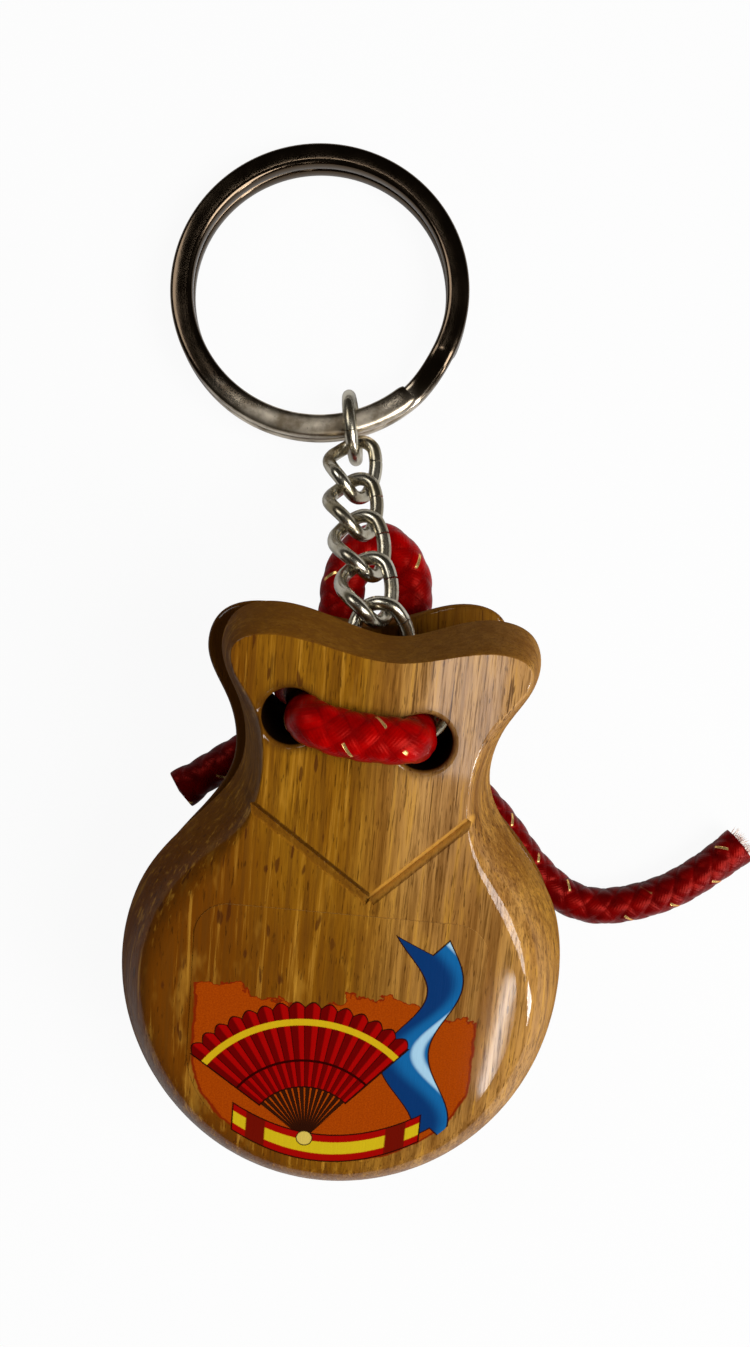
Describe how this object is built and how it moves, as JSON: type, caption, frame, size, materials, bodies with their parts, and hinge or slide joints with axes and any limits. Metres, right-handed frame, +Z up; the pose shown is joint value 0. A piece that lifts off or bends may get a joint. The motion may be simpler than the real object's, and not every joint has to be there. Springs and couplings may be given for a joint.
{
  "type": "castanets",
  "caption": "Small wooden castanets that open and close on a braided cord with a knot and loop, on a curb chain with a split key ring.",
  "frame": {"origin": "the middle of the set's footprint, without its cord, on the surface that it lies on", "axes": "+Y from the shells' bowls towards the key ring, +Z up out of the printed front shell"},
  "size_m": [0.0513, 0.0838, 0.0271],
  "materials": {
    "wood_front": "gloss lacquer",
    "wood_rear": "gloss lacquer",
    "print": "gloss",
    "cord": "satin braid",
    "steel_wire": "worn nickel",
    "ring_steel": "worn nickel"
  },
  "bodies": {
    "rear": {"rear_shell": "wood_rear", "cord_left_leg": "cord", "cord_right_leg": "cord", "cord_knot": "cord", "cord_loop": "cord", "cord_left_tail": "cord", "cord_right_tail": "cord"},
    "front": {"front_shell": "wood_front", "front_film": "print", "cord_front_stretch": "cord"},
    "jump": {"jump_ring": "steel_wire"},
    "link_5": {"chain_link_5": "steel_wire"},
    "link_4": {"chain_link_4": "steel_wire"},
    "link_3": {"chain_link_3": "steel_wire"},
    "link_2": {"chain_link_2": "steel_wire"},
    "link_1": {"chain_link_1": "steel_wire"},
    "hook": {"ring_link": "steel_wire"},
    "key_ring": {"split_ring": "ring_steel"}
  },
  "joints": [
    {"name": "clap", "type": "hinge", "parent": "rear", "child": "front", "pos_m": [0.00083, -0.0045, 0.01412], "axis": [-0.9872, 0.1584, 0.0198], "range_deg": [0, 9]},
    {"name": "jump_swing", "type": "hinge", "parent": "rear", "child": "jump", "pos_m": [0.00543, -0.00524, 0.01397], "axis": [0.3849, -0.0396, 0.9221], "range_deg": [0, 10]},
    {"name": "link_5_swing", "type": "hinge", "parent": "jump", "child": "link_5", "pos_m": [0.00398, -0.00164, 0.01473], "axis": [-0.6846, -0.2457, 0.6862], "range_deg": [-25, 0]},
    {"name": "link_4_swing", "type": "hinge", "parent": "link_5", "child": "link_4", "pos_m": [0.00216, 0.00246, 0.01438], "axis": [0.6109, 0.5151, 0.6012], "range_deg": [-20, 20]},
    {"name": "link_3_swing", "type": "hinge", "parent": "link_4", "child": "link_3", "pos_m": [0.00171, 0.00607, 0.01174], "axis": [-0.6257, 0.3948, 0.6728], "range_deg": [-30, 30]},
    {"name": "link_2_swing", "type": "hinge", "parent": "link_3", "child": "link_2", "pos_m": [0.00097, 0.00956, 0.009], "axis": [0.8182, 0.4131, 0.3999], "range_deg": [-30, 30]},
    {"name": "link_1_swing", "type": "hinge", "parent": "link_2", "child": "link_1", "pos_m": [0.00071, 0.01295, 0.00604], "axis": [-0.4453, 0.5636, 0.6958], "range_deg": [-30, 30]},
    {"name": "hook_swing", "type": "hinge", "parent": "link_1", "child": "hook", "pos_m": [0.00086, 0.01649, 0.00327], "axis": [0.9928, 0.0984, 0.0688], "range_deg": [-25, 25]},
    {"name": "key_ring_turn", "type": "hinge", "parent": "hook", "child": "key_ring", "pos_m": [-0.00198, 0.0293, 0.00226], "axis": [0, 0.0665, 0.9978], "range_deg": [-150, 150]}
  ]
}
